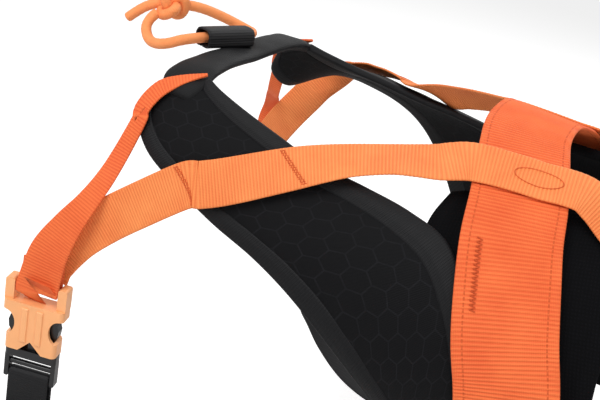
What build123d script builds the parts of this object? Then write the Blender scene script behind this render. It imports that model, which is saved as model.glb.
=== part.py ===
"""Pulling-style dog harness in worn shape, in millimetres.

X points to the dog's head, Y to its left, Z up.  The origin lies on the withers, under the middle of
the wide band.  Straps, pads and panels follow one smooth body form, each at its own height (lift)
above it, so that whatever crosses keeps its order and its clearance.
"""
import math
import os

import numpy as np
from build123d import *

os.makedirs("parts", exist_ok=True)

# ---------------------------------------------------------------- driving dimensions
CHEST_HALF_WIDTH = 128.0      # widest half width of the body form
CHEST_HALF_DEPTH = 113.0      # half of the body form's height
STRAP_WIDTH = 28.0            # flank straps, belly straps and the buckles' webbing
STRAP_THICKNESS = 1.6
BAND_WIDTH = 50.0             # withers band at its top
BAND_FLARE = 5.0              # extra width of the band at its lower ends
BAND_THICKNESS = 1.8
PANEL_THICKNESS = 6.0
PAD_THICKNESS = 7.0
CHEST_PLATE_WIDTH = 104.0
CHEST_PLATE_LENGTH = 92.0
BINDING_SHARE = 0.17          # share of the panel's width that each edge binding takes
EDGE_STRIP_WIDTH = 11.0       # folded webbing on the panel's rear edge
EDGE_EXTRA = 0.3              # extra clearance of that strip where the panel bends under it
LAYER_GAP = 0.7               # clearance between layers that cross
SEAM_GAP = 0.6                # clearance between a panel and its binding
YOKE_WIDTH = 24.0
YOKE_THICKNESS = 6.0
TUNNEL_LENGTH = 40.0
TUNNEL_WALL = 2.0
TUNNEL_YAW = 21.0             # degrees that the tunnel is turned from square
CORD_DIAMETER = 7.0
CORD_CLEARANCE = 0.9          # free space round the cord in its tunnel
BUCKLE_EAR = 6.0              # each ear beside the webbing at the top of a buckle
PLUG_EAR = 3.0                # each ear beside the webbing at the bottom of its plug
BUCKLE_LENGTH = 50.0
BUCKLE_THICKNESS = 13.0
BUCKLE_WALL = 2.2
BUCKLE_YAW = 14.0             # degrees that each buckle's face is turned forwards
RIGHT_SEAT = (-247.0, -135.0, -184.0, 0.0)     # place of a buckle and its lean forwards, in degrees
LEFT_SEAT = (-215.0, -148.0, -168.0, 35.0)     # given on the right side, turned over afterwards
BAR_DIAMETER = 4.6
EAR_GAP = 0.5                 # clearance of the webbing between a buckle's ears
ARM_GAP = 0.5                 # clearance of the latch arms in the buckle
SLIDER_WALL = 2.4
BUCKLE_WIDTH = STRAP_WIDTH + 2 * (EAR_GAP + BUCKLE_EAR)
BUCKLE_BODY_WIDTH = STRAP_WIDTH + 2 * (EAR_GAP + PLUG_EAR)
HUNG_FORM = (128.0, 113.0)    # half width and half depth of the form that free-hanging places are given for

# heights above the body form, worked out from the layer thicknesses
BAND_LIFT = 0.4
STRAP_LIFT = BAND_LIFT + BAND_THICKNESS / 2 + LAYER_GAP + STRAP_THICKNESS / 2
PANEL_LIFT = BAND_LIFT - BAND_THICKNESS / 2 - LAYER_GAP - PANEL_THICKNESS / 2
PAD_LIFT = PANEL_LIFT - PANEL_THICKNESS / 2 - LAYER_GAP - PAD_THICKNESS / 2


# ---------------------------------------------------------------- body form
def half_width(x):
    return CHEST_HALF_WIDTH - 0.0007 * (x + 20.0) ** 2


def top_line(x):
    return 0.6 - 0.07 * x


def half_depth(x):
    return CHEST_HALF_DEPTH - 0.00035 * (x - 20.0) ** 2


def body(x, angle):
    """Point of the body form: an ellipse at station x, angle in degrees from the top, left positive."""
    a = math.radians(angle)
    y = half_width(x) * math.sin(a)
    z = top_line(x) - half_depth(x) * (1.0 - math.cos(a))
    return np.array([x, y, z])


def outward(x, angle):
    """Unit normal of the body form."""
    along = body(x + 1.0, angle) - body(x - 1.0, angle)
    around = body(x, angle + 1.0) - body(x, angle - 1.0)
    normal = np.cross(along, around)
    return normal / np.linalg.norm(normal)


def on_body(x, angle, lift, roll, width):
    """One place of a strap: centre, face normal, roll of the face about the strap's line, width."""
    normal = outward(x, angle)
    return body(x, angle) + normal * lift, normal, roll, width


def along_body(rows, steps=3):
    """Places through rows of (x, angle, lift, roll, width), curved over the body form."""
    return [on_body(*row) for row in smooth(rows, steps)]


def hung(point):
    """A free-hanging place, moved with the body form where its half width or half depth changes."""
    return np.array([point[0], point[1] * CHEST_HALF_WIDTH / HUNG_FORM[0],
                     point[2] * CHEST_HALF_DEPTH / HUNG_FORM[1]])


def in_air(point, normal, width, roll=0.0):
    normal = np.array(normal, float)
    return np.array(point, float), normal / np.linalg.norm(normal), roll, width


# ---------------------------------------------------------------- ribbons and draped sheets
def smooth(values, steps):
    """Catmull-Rom curve through rows of values, with that many steps to each span."""
    rows = np.array(values, float)
    rows = np.vstack([2 * rows[0] - rows[1], rows, 2 * rows[-1] - rows[-2]])
    out = []
    for i in range(1, len(rows) - 2):
        p0, p1, p2, p3 = rows[i - 1:i + 3]
        for k in range(steps):
            t = k / steps
            out.append(0.5 * (2 * p1 + (p2 - p0) * t + (2 * p0 - 5 * p1 + 4 * p2 - p3) * t ** 2
                              + (3 * p1 - p0 - 3 * p2 + p3) * t ** 3))
    out.append(rows[-2])
    return np.array(out)


def flattened(ring):
    """The ring's points dropped onto the plane that fits them best."""
    points = np.array(ring)
    middle = points.mean(axis=0)
    normal = np.linalg.svd(points - middle)[2][2]
    return points - np.outer((points - middle) @ normal, normal)


def skin_solid(outer, inner):
    """Closed solid between two grids of points, as ruled faces between their rows."""
    rings = [list(top) + list(bottom[::-1]) for top, bottom in zip(outer, inner)]
    rings[0] = flattened(rings[0])
    rings[-1] = flattened(rings[-1])
    wires = [Wire.make_polygon([Vector(*p) for p in ring], close=True) for ring in rings]
    solid = Solid.make_loft(wires, ruled=True)
    return solid if solid.volume > 0 else Solid(solid.wrapped.Reversed())


def ribbon(places, thickness, steps=1):
    """Flat webbing through places, with that many steps from each to the next."""
    rows = smooth([np.concatenate([p, n, [roll, width]]) for p, n, roll, width in places], steps)
    centres = rows[:, :3]
    tangents = np.gradient(centres, axis=0)
    outer, inner = [], []
    for centre, tangent, row in zip(centres, tangents, rows):
        t = tangent / np.linalg.norm(tangent)
        n = row[3:6] - t * np.dot(row[3:6], t)
        n = n / np.linalg.norm(n)
        side = np.cross(n, t)
        turn = math.radians(row[6])
        face = n * math.cos(turn) + side * math.sin(turn)
        across = (side * math.cos(turn) - n * math.sin(turn)) * row[7] / 2
        outer.append([centre - across + face * thickness / 2, centre + across + face * thickness / 2])
        inner.append([centre - across - face * thickness / 2, centre + across - face * thickness / 2])
    return skin_solid(outer, inner)


def sheet_place(first, second, share, tilt, lift):
    """Point and face of a sheet between two edge places (x, angle); tilt stands the second edge off."""
    base = body(*first)
    normal = outward(*first)
    x = first[0] + (second[0] - first[0]) * share
    angle = first[1] + (second[1] - first[1]) * share
    lean = math.radians(tilt)
    away = body(x, angle) - base
    rise = np.dot(away, normal)
    flat = away - normal * rise
    reach = np.linalg.norm(flat)
    side = body(*second) - base
    side = side - normal * np.dot(side, normal)
    side = side / np.linalg.norm(side)
    swing = side * (reach * math.cos(lean) - rise * math.sin(lean))
    swing = swing + normal * (rise * math.cos(lean) + reach * math.sin(lean))
    face = outward(x, angle) * math.cos(lean) - side * math.sin(lean)
    face = face / np.linalg.norm(face)
    return base + swing + face * lift, face


def rising(tilts, steps):
    return np.maximum(smooth([[tilt] for tilt in tilts], steps)[:, 0], 0.0)


def draped(first_edge, second_edge, lift, thickness, share=(0.0, 1.0), tilts=None, steps=3, divisions=4):
    """Sheet on the body form between two edges of (x, angle)."""
    a = smooth(first_edge, steps)
    b = smooth(second_edge, steps)
    tilts = rising(tilts or [0.0] * len(first_edge), steps)
    shares = np.linspace(share[0], share[1], divisions + 1)
    outer = [[sheet_place(p, q, f, t, lift + thickness / 2)[0] for f in shares] for p, q, t in zip(a, b, tilts)]
    inner = [[sheet_place(p, q, f, t, lift - thickness / 2)[0] for f in shares] for p, q, t in zip(a, b, tilts)]
    return skin_solid(outer, inner)


def save(name, *solids):
    """Write one node; several solids go in as a group."""
    shape = solids[0] if len(solids) == 1 else Compound(children=list(solids))
    export_step(shape, f"parts/{name}.step")


# ---------------------------------------------------------------- side panels and their bindings
CHEST_EDGE = 180.0 - math.degrees(math.asin(CHEST_PLATE_WIDTH / 2 / CHEST_HALF_WIDTH))
PANEL_END = CHEST_EDGE - math.degrees(LAYER_GAP / CHEST_HALF_WIDTH)
PANEL_INNER = [(-184, -44), (-172, -46), (-152, -48), (-126, -50), (-97, -52), (-66, -52), (-36, -53),
               (-10, -57), (10, -70), (24, -88), (36, -106), (46, -124), (54, -PANEL_END)]
PANEL_OUTER = [(-213, -58), (-219, -71), (-206, -80), (-180, -84), (-148, -87), (-114, -89), (-84, -94),
               (-55, -103), (-30, -114), (-13, -125), (0, -136), (10, -146), (18, -PANEL_END)]
FLAT = [0] * len(PANEL_INNER)
LEFT_TILT = [0, 0, 6, 32, 39, 35, 24, 9, 0, 0, 0, 0, 0]
PANEL_TOP = PANEL_LIFT + PANEL_THICKNESS / 2
ON_PANEL = PANEL_TOP + LAYER_GAP + STRAP_THICKNESS / 2
PAD_SEAM_GAP = 0.5            # clearance of a flank strap's sewn end over the pad
ON_PAD = PAD_LIFT + PAD_THICKNESS / 2 + PAD_SEAM_GAP + STRAP_THICKNESS / 2


def on_side(sign, rows):
    """Rows that start with (x, angle), for the right side as written or, with sign -1, the left."""
    return [(row[0], sign * row[1], *row[2:]) for row in rows]


def panel(sign, tilts):
    inner = on_side(sign, PANEL_INNER)
    outer = on_side(sign, PANEL_OUTER)
    gap = SEAM_GAP / 80.0
    core = draped(inner, outer, PANEL_LIFT, PANEL_THICKNESS, (BINDING_SHARE, 1 - BINDING_SHARE), tilts)
    upper = draped(inner, outer, PANEL_LIFT, PANEL_THICKNESS, (0.0, BINDING_SHARE - gap), tilts, divisions=1)
    lower = draped(inner, outer, PANEL_LIFT, PANEL_THICKNESS, (1 - BINDING_SHARE + gap, 1.0), tilts,
                   divisions=1)
    return core, upper, lower


def panel_surface(tilts, station, share, lift):
    """Point above the right panel's outer face, at a station number and a share of its width."""
    inner = smooth(PANEL_INNER, 3)
    outer = smooth(PANEL_OUTER, 3)
    numbers = np.arange(len(inner)) / 3
    first = [np.interp(station, numbers, inner[:, k]) for k in (0, 1)]
    second = [np.interp(station, numbers, outer[:, k]) for k in (0, 1)]
    tilt = np.interp(station, numbers, rising(tilts, 3))
    return sheet_place(first, second, share, tilt, lift)


def on_panel(tilts, stations, width, extra):
    """Strap places on the right panel's outer face, from rows of (station number, share across)."""
    places = []
    for station, share in smooth(stations, 3):
        point, face = panel_surface(tilts, station, share, PANEL_TOP)
        along = panel_surface(tilts, station + 0.1, share, PANEL_TOP)[0] - point
        across = panel_surface(tilts, station, share + 0.05, PANEL_TOP)[0] - point
        normal = np.cross(along, across)
        normal = normal / np.linalg.norm(normal) * np.sign(np.dot(normal, face))
        places.append(in_air(point + normal * (ON_PANEL - PANEL_TOP + extra), normal, width))
    return places


# ---------------------------------------------------------------- withers band, pads and chest plate
BAND_LINE = [(0, 0), (1, 12), (7, 25), (14, 38), (19, 50), (26, 62), (34, 75), (43, 88), (50, 104),
             (55, 122), (59, 142), (61, 163)]
PAD_REAR = [(-22, -40), (-27, -52), (-25, -66), (-18, -82), (-8, -100), (2, -118), (10, -138)]
PAD_FRONT = [(64, -18), (86, -33), (84, -52), (84, -72), (88, -94), (92, -116), (96, -138)]


def withers_band():
    """One wide webbing over the withers, whose two ends lie on the sides of the chest plate."""
    line = [(x, -a) for x, a in BAND_LINE[:0:-1]] + BAND_LINE
    rows = [(x, a, BAND_LIFT, 0, BAND_WIDTH + BAND_FLARE * min(1.0, abs(a) / 70.0)) for x, a in line]
    return ribbon(along_body(rows), BAND_THICKNESS)


def shoulder_pad(sign):
    return draped(on_side(sign, PAD_REAR), on_side(sign, PAD_FRONT), PAD_LIFT, PAD_THICKNESS)


def chest_plate():
    angles = [CHEST_EDGE + (180.0 - CHEST_EDGE) * k / 3 for k in range(7)]
    rear = [(16.0, a) for a in angles]
    front = [(16.0 + CHEST_PLATE_LENGTH, a) for a in angles]
    return draped(rear, front, PANEL_LIFT, PANEL_THICKNESS)


# ---------------------------------------------------------------- buckles, each in its own frame
# X is across the webbing, +Y points to the dog's body, +Z points up the strap.
BAR_Z = 21.0
BODY_TOP = 10.0
BODY_BOTTOM = BAR_Z + BAR_DIAMETER / 2 + 1.7 - BUCKLE_LENGTH
MOUTH_GAP = 0.6
ARM_ROOT = BODY_BOTTOM - MOUTH_GAP + 0.4
WINDOW_LOW = BODY_BOTTOM + 11.0
WINDOW_HIGH = WINDOW_LOW + 16.0
ARM_THICKNESS = 6.0
ARM_RANGE = 6.0               # degrees that a latch arm bends inwards
LADDER_UPPER = BODY_BOTTOM - 13.0
LADDER_LOWER = BODY_BOTTOM - 21.0
LADDER_BAR = 4.0
YAW = math.radians(BUCKLE_YAW)
ACROSS = np.array([math.cos(YAW), math.sin(YAW), 0.0])
INWARD = np.array([-math.sin(YAW), math.cos(YAW), 0.0])
UP = np.array([0.0, 0.0, 1.0])
BODY_HALF = BUCKLE_BODY_WIDTH / 2
WINDOW_MIDDLE = (WINDOW_LOW + WINDOW_HIGH) / 2


def block(x0, x1, y0, y1, z0, z1):
    return Pos((x0 + x1) / 2, (y0 + y1) / 2, (z0 + z1) / 2) * Box(x1 - x0, y1 - y0, z1 - z0)


def cross_bar(z, diameter, length):
    return Pos(0, 0, z) * (Rot(0, 90, 0) * Cylinder(diameter / 2, length))


def female_buckle():
    half = BUCKLE_WIDTH / 2
    deep = BUCKLE_THICKNESS / 2
    side = [(BODY_HALF, BODY_BOTTOM), (BODY_HALF, -3.0), (half, 3.0), (half, BODY_TOP)]
    outline = side + [(-x, z) for x, z in side[::-1]]
    shoulders = block(-half, half, -deep, deep, -3.0, BODY_TOP)
    shoulders = fillet(shoulders.edges().filter_by(Axis.Z), 3.2)
    shell = block(-BODY_HALF, BODY_HALF, -deep, deep, BODY_BOTTOM, BODY_TOP)
    shell = fillet(shell.edges().filter_by(Axis.Z), 3.2)
    shell += shoulders & extrude(Plane.XZ * make_face(Polyline(*outline, close=True)), deep, both=True)
    hollow_x = BODY_HALF - BUCKLE_WALL
    hollow_y = deep - BUCKLE_WALL
    shell -= block(-hollow_x, hollow_x, -hollow_y, hollow_y, BODY_BOTTOM - 1, BODY_TOP - 5)
    notch = [(-9.0, BODY_BOTTOM - 1), (9.0, BODY_BOTTOM - 1), (0.0, BODY_BOTTOM + 8)]
    shell -= Pos(0, -deep, 0) * extrude(Plane.XZ * make_face(Polyline(*notch, close=True)), BUCKLE_WALL + 0.2,
                                        both=True)
    for hand in (-1, 1):
        window = Plane.XZ * (Pos(hand * (BODY_HALF + 1.0), WINDOW_MIDDLE) * Ellipse(7.0, 9.0))
        shell -= extrude(window, BUCKLE_THICKNESS, both=True)
        edges = sorted((hand * (STRAP_WIDTH / 2 + EAR_GAP), hand * half))
        ear = block(edges[0], edges[1], -4.4, 4.4, BODY_TOP - 1, BAR_Z + BAR_DIAMETER / 2 + 1.7)
        shell += fillet(ear.edges().filter_by(Axis.Y), 1.6)
        ridge = block(hand * 5.0 - 2.2, hand * 5.0 + 2.2, -deep - 0.9, -deep + 0.5, BODY_BOTTOM + 7, BODY_TOP - 3)
        shell += fillet(ridge.edges().group_by(Axis.Y)[0], 0.8)
    shell += cross_bar(BAR_Z, BAR_DIAMETER, BUCKLE_WIDTH - 4)
    return shell.solid()


def male_buckle():
    top = BODY_BOTTOM - MOUTH_GAP
    base = block(-BODY_HALF, BODY_HALF, -4.6, 4.6, top - 6.0, top)
    base = fillet(base.edges().filter_by(Axis.Z), 2.5)
    base += block(-2.6, 2.6, -2.5, 2.5, top - 1, WINDOW_HIGH - 4)
    for hand in (-1, 1):
        edges = sorted((hand * (STRAP_WIDTH / 2 + EAR_GAP), hand * BODY_HALF))
        ear = block(edges[0], edges[1], -3.0, 3.0, LADDER_LOWER - LADDER_BAR / 2 - 1, top - 5)
        base += fillet(ear.edges().filter_by(Axis.Y), 1.0)
    for z in (LADDER_UPPER, LADDER_LOWER):
        base += cross_bar(z, LADDER_BAR, 2 * BODY_HALF - 2)
    return base.solid()


def latch_arm(hand):
    """One springy prong; its barbed head fills the window in the buckle's side wall."""
    reach = BODY_HALF - 0.4
    outline = [(8.0, ARM_ROOT), (12.5, ARM_ROOT), (12.8, WINDOW_LOW - 1.5), (reach - 2.5, WINDOW_LOW + ARM_GAP),
               (reach - 0.6, WINDOW_LOW + 3), (reach, WINDOW_MIDDLE), (reach - 1.2, WINDOW_HIGH - 4),
               (12.8, WINDOW_HIGH - 1.2), (10.5, WINDOW_HIGH - 1.2), (10.0, WINDOW_LOW), (8.5, ARM_ROOT + 5)]
    face = Plane.XZ * make_face(Polyline(*[(hand * x, z) for x, z in outline], close=True))
    return extrude(face, ARM_THICKNESS / 2, both=True).solid()


def place_of(seat, point):
    """World place of a point given in the frame of the buckle at that seat."""
    lean = math.radians(seat[3])
    across = ACROSS * math.cos(lean) + UP * math.sin(lean)
    return hung(seat) + across * point[0] + INWARD * point[1] + up_of(seat) * point[2]


def up_of(seat):
    lean = math.radians(seat[3])
    return UP * math.cos(lean) - ACROSS * math.sin(lean)


def set_buckle(seat, shape):
    return (Pos(*hung(seat)) * Rot(0, 0, BUCKLE_YAW) * Rot(0, -seat[3], 0) * shape).solid()


# ---------------------------------------------------------------- strap lines
LOOP = BAR_DIAMETER / 2 + 0.4 + STRAP_THICKNESS / 2
LOWER_LOOP = LADDER_BAR / 2 + 0.6 + STRAP_THICKNESS / 2


def loop_round(seat, centre_z, radius, start, stop, count):
    """Places round a bar of the buckle; the angle runs from the outer face down into the slot below."""
    places = []
    for k in range(count):
        a = math.radians(start + (stop - start) * k / (count - 1))
        normal = -INWARD * math.cos(a) - up_of(seat) * math.sin(a)
        point = place_of(seat, (0.0, -radius * math.cos(a), centre_z - radius * math.sin(a)))
        places.append(in_air(point, normal, STRAP_WIDTH))
    return places


STRIP_SEWN = [(0.05, 0.02), (0.05, 0.45), (0.2, 0.8), (0.75, 0.9), (1.2, 0.93)]
RIGHT_FREE = [((-220, -103, -69), (0.1, -0.9, 0.3), 11), ((-222, -115, -85), (0.2, -0.95, 0.2), 12),
              ((-227, -124, -100), (0.25, -0.95, 0.1), 14), ((-234, -131, -116), (0.25, -0.95, 0.1), 19),
              ((-242, -136, -137), (0.24, -0.97, 0.05), 25)]
LEFT_FREE = [((-221, -109, -70), (0.1, -0.9, 0.4), 11), ((-230, -130, -82), (0.0, -0.85, 0.5), 12),
             ((-238, -149, -98), (0.0, -0.9, 0.4), 14), ((-241, -154, -114), (0.1, -0.95, 0.1), 19),
             ((-238, -155, -128), (0.24, -0.97, 0.0), 25)]


def rear_strip(seat, sewn, free):
    """Folded webbing from the yoke along the panel, then opening out and round the buckle bar.

    It is laid out on the right side; the left one is turned over afterwards."""
    hanging = [in_air(hung(point), normal, width) for point, normal, width in free]
    loop = loop_round(seat, BAR_Z, LOOP, 0, 180, 6)
    tail = [in_air(place_of(seat, (0.0, LOOP + 0.3, BAR_Z + 9)), INWARD, STRAP_WIDTH),
            in_air(place_of(seat, (0.0, LOOP + 0.6, BAR_Z + 17)), INWARD, STRAP_WIDTH)]
    return ribbon(sewn + hanging + loop + tail, STRAP_THICKNESS, steps=3)


FLANK_BACK = [(-168, -80.5, ON_PANEL + 3.6, 0), (-147, -73, ON_PANEL + 1.6, 0), (-124, -64, ON_PANEL + 0.8, 4),
              (-104, -56.5, ON_PANEL + 1.2, 9), (-80, -48.5, 2.2, 20), (-55, -42, 2.6, 20), (-33, -37.5, 2.8, 8)]
WING_CROSSING = [(3.05, 0.86), (3.4, 0.65), (3.75, 0.38), (4.0, 0.13)]
WING_EXTRA = 2.6              # clearance of the flank strap over the leaning left panel
FLANK_FRONT = [(-18, -33.5, STRAP_LIFT, 0), (2, -31.5, STRAP_LIFT, 0), (22, -30.5, STRAP_LIFT, 0),
               (44, -29.5, STRAP_LIFT, 0), (62, -32, ON_PAD + 3.0, 0), (76, -36, ON_PAD, 0)]
LEFT_MIDDLE = [(-80, -48.5, 2.6, 0), (-55, -42, 2.6, 0), (-33, -37.5, 2.8, 0)]
RIGHT_RISE = [((-232, -121.5, -128), (0.1, -0.99, 0.1)), ((-217, -117, -112), (0.1, -0.99, 0.1)),
              ((-199, -115.5, -96), (0.0, -0.99, 0.15))]
LEFT_RISE = [((-229, -140, -120), (0.1, -0.99, 0.1)), ((-216, -132, -98), (0.1, -0.99, 0.1)),
             ((-203, -137, -76), (0.2, -0.95, 0.2)), ((-191, -144, -57), (0.3, -0.9, 0.4))]


def flank_strap(seat, rise, crossing, rows):
    """Webbing from behind the buckle bar, across the panel and over the band, to the shoulder pad."""
    behind = LOOP + 0.6 + STRAP_THICKNESS + LAYER_GAP
    start = [(place_of(seat, (2.0, behind, BAR_Z + 6)), -INWARD),
             (place_of(seat, (5.0, behind + 1.0, BAR_Z + 16)), -INWARD)]
    start += [(hung(point), normal) for point, normal in rise]
    start = [in_air(point, normal, STRAP_WIDTH) for point, normal in start]
    rows = [(*row, STRAP_WIDTH) for row in rows + FLANK_FRONT]
    return ribbon(start + crossing + along_body(rows, 2), STRAP_THICKNESS, steps=2)


RIGHT_BELLY = [((-243, -133, -289), (0.1, -0.8, -0.6)), ((-224, -118, -305), (0.1, -0.3, -0.95)),
               ((-192, -99, -313), (0, -0.12, -0.99)), ((-152, -80, -309), (0.1, -0.1, -0.99)),
               ((-112, -62, -295), (0.25, -0.1, -0.97)), ((-70, -46, -276), (0.35, -0.1, -0.93)),
               ((-30, -33, -254), (0.45, -0.1, -0.88)), ((2, -26, -235), (0.3, -0.1, -0.95))]
LEFT_BELLY = [((-146, -129, -260), (-0.5, -0.6, -0.6)), ((-124, -115, -272), (-0.2, -0.4, -0.9)),
              ((-94, -95, -278), (0, -0.25, -0.97)), ((-60, -72, -272), (0.2, -0.15, -0.97)),
              ((-28, -48, -255), (0.35, -0.1, -0.93)), ((2, -26, -235), (0.3, -0.1, -0.95))]


def belly_strap(seat, rest):
    """Black webbing from the ladder bar, hanging in a slack curve to the chest plate's rear edge."""
    upper = [(LOWER_LOOP + 0.4, 19), (LOWER_LOOP + 0.2, 9)]
    upper = [in_air(place_of(seat, (0.0, y, LADDER_LOWER - z)), INWARD, STRAP_WIDTH) for y, z in upper]
    loop = [(point, -normal, roll, width)
            for point, normal, roll, width in loop_round(seat, LADDER_LOWER, -LOWER_LOOP, 0, 180, 6)]
    down = [in_air(place_of(seat, (0.0, -LOWER_LOOP, LADDER_LOWER - z)), -INWARD, STRAP_WIDTH)
            for z in (9, 19, 29, 39, 49)]
    rest = [in_air(hung(point), normal, STRAP_WIDTH) for point, normal in rest]
    landed = [on_body(x, -168.5, ON_PANEL + 0.4, 0, STRAP_WIDTH) for x in (18, 24, 30)]
    return ribbon(upper + loop + down + rest + landed, STRAP_THICKNESS, steps=3)


def webbing_slider():
    """Loop-shaped slider that runs on the straight part of the belly strap, in the buckle's frame."""
    z = LADDER_LOWER - 34.0
    y = -LOWER_LOOP
    gap = 0.9
    half_x = STRAP_WIDTH / 2 + gap
    half_y = STRAP_THICKNESS / 2 + gap
    ring = block(-half_x - SLIDER_WALL, half_x + SLIDER_WALL, y - half_y - SLIDER_WALL,
                 y + half_y + SLIDER_WALL, z - 7, z + 7)
    ring = fillet(ring.edges().filter_by(Axis.Z), 1.6)
    ring -= block(-half_x, half_x, y - half_y, y + half_y, z - 8, z + 8)
    return ring.solid()


# ---------------------------------------------------------------- rear yoke, tunnel, tow cord
YOKE_DROP = 34.0              # depth of the yoke's middle below the body form's top
TUNNEL_PLACE = (-211.0, -10.0)
TUNNEL_RAISE = 3.0            # height the tunnel stands off the hollow of the yoke
TUNNEL_AXIS = np.array([math.sin(math.radians(TUNNEL_YAW)), math.cos(math.radians(TUNNEL_YAW)), 0.0])
TUNNEL_BORE = CORD_DIAMETER + 2 * CORD_CLEARANCE


def rear_yoke():
    """Black sleeve that joins the two panels' rear tips; it covers the ends of the edge strips."""
    cover = ON_PANEL + EDGE_EXTRA + STRAP_THICKNESS / 2 + LAYER_GAP + YOKE_THICKNESS / 2
    rows = [(-192, -54, cover), (-193, -48, cover), (-194, -42, cover - 0.5), (-195.5, -31, -10),
            (-197, -16, -28.5), (-198, 0, -YOKE_DROP)]
    rows = rows + [(x, -a, lift) for x, a, lift in rows[-2::-1]]
    rows = [(x, a, lift, 0, YOKE_WIDTH) for x, a, lift in rows]
    return ribbon(along_body(rows, 4), YOKE_THICKNESS)


def tunnel_centre():
    base = top_line(-198) - YOKE_DROP + YOKE_THICKNESS / 2 + LAYER_GAP
    return np.array([TUNNEL_PLACE[0], TUNNEL_PLACE[1], base + TUNNEL_WALL + TUNNEL_BORE / 2 + TUNNEL_RAISE])


def tow_tunnel():
    """Folded webbing sewn into a short sleeve that holds the tow cord."""
    outer = TUNNEL_BORE + 2 * TUNNEL_WALL
    tube = Box(outer + 3, TUNNEL_LENGTH, outer) - Box(TUNNEL_BORE + 2, TUNNEL_LENGTH + 2, TUNNEL_BORE)
    tube = fillet(tube.edges().filter_by(Axis.Y).group_by(Axis.Z)[-1], 3.0)
    centre = tunnel_centre()
    return (Pos(*centre) * Rot(0, 0, -TUNNEL_YAW) * tube).solid()


KNOT_RADIUS = 8.0 + CORD_DIAMETER / 2
KNOT_GAP = 0.4
CORD_MIDDLE = tunnel_centre()
KNOT_PLACE = CORD_MIDDLE + np.array([-42.0, -4.0, 12.0])
NEAR_LEG = [(0, 0, 0), tuple(TUNNEL_AXIS * -30.7), (-27, -33, -9), (-43, -26, -12), (-53, -17, -2)]
FAR_LEG = [(0, 0, 0), tuple(TUNNEL_AXIS * 29.0), (-3.5, 33.4, 0.5), (-16.5, 24.5, 6), (-29, 12, 11)]


def cord_leg(offsets):
    """Tube from the middle of the tunnel to the knot, as straight runs joined by tangent arcs."""
    points = [CORD_MIDDLE + np.array(p, float) for p in offsets]
    away = points[-1] - KNOT_PLACE
    away = away / np.linalg.norm(away)
    points.append(KNOT_PLACE + away * (KNOT_RADIUS + KNOT_GAP))
    points = [Vector(*p) for p in points]
    runs = [b - a for a, b in zip(points, points[1:])]
    radii = []
    for a, b in zip(runs, runs[1:]):
        half_turn = math.radians(a.get_angle(b) / 2)
        radii.append(0.45 * min(a.length, b.length) / math.tan(half_turn))
    path = FilletPolyline(*points, radius=radii)
    section = Plane(origin=points[0], z_dir=runs[0]) * Circle(CORD_DIAMETER / 2)
    tube = sweep(section, path=path).solid()
    ideal = math.pi * CORD_DIAMETER ** 2 / 4 * path.length
    print("cord radii", [round(r, 1) for r in radii], "length", round(path.length, 1),
          "volume share", round(tube.volume / ideal, 4))
    return tube


def cord_knot():
    """Overhand knot as a ball with its two cut ends."""
    knot = Pos(*KNOT_PLACE) * Sphere(KNOT_RADIUS)
    for end in ((-30.0, -6.0, -18.0), (-6.0, 10.0, 22.0)):
        along = Vector(*end)
        stub = Plane(origin=Vector(*KNOT_PLACE), z_dir=along) * Circle(CORD_DIAMETER / 2)
        knot += extrude(stub, along.length)
    return knot.solid()


# ---------------------------------------------------------------- write every node
def on_other_side(shape, side):
    return shape.mirror(Plane.XZ) if side == "left" else shape


def main():
    sides = [("right", 1, FLAT, RIGHT_SEAT, RIGHT_FREE, RIGHT_BELLY),
             ("left", -1, LEFT_TILT, LEFT_SEAT, LEFT_FREE, LEFT_BELLY)]
    for side, sign, tilts, seat, free, belly in sides:
        core, upper, lower = panel(sign, tilts)
        save(f"side_panel_{side}", core)
        save(f"panel_binding_{side}", upper, lower)
        save(f"shoulder_pad_{side}", shoulder_pad(sign))
        strip = rear_strip(seat, on_panel(tilts, STRIP_SEWN, EDGE_STRIP_WIDTH, EDGE_EXTRA), free)
        if side == "right":
            strap = flank_strap(seat, RIGHT_RISE, [], FLANK_BACK)
        else:
            crossing = on_panel(tilts, WING_CROSSING, STRAP_WIDTH, WING_EXTRA)
            strap = flank_strap(seat, LEFT_RISE, crossing, LEFT_MIDDLE)
        hard = {"buckle_socket": female_buckle(), "buckle_plug": male_buckle(), "latch_arm_rear": latch_arm(-1),
                "latch_arm_front": latch_arm(1), "webbing_slider": webbing_slider()}
        shapes = {name: set_buckle(seat, shape) for name, shape in hard.items()}
        shapes |= {"rear_strip": strip, "flank_strap": strap, "belly_strap": belly_strap(seat, belly)}
        for name, shape in shapes.items():
            save(f"{name}_{side}", on_other_side(shape, side))
    save("withers_band", withers_band())
    save("chest_plate", chest_plate())
    save("rear_yoke", rear_yoke())
    save("tow_tunnel", tow_tunnel())
    save("tow_cord_near", cord_leg(NEAR_LEG))
    save("tow_cord_far", cord_leg(FAR_LEG))
    save("cord_knot", cord_knot())


main()
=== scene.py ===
"""Dog pulling harness: woven webbing, padded panels, moulded buckles and a braided tow cord."""
import math

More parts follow.
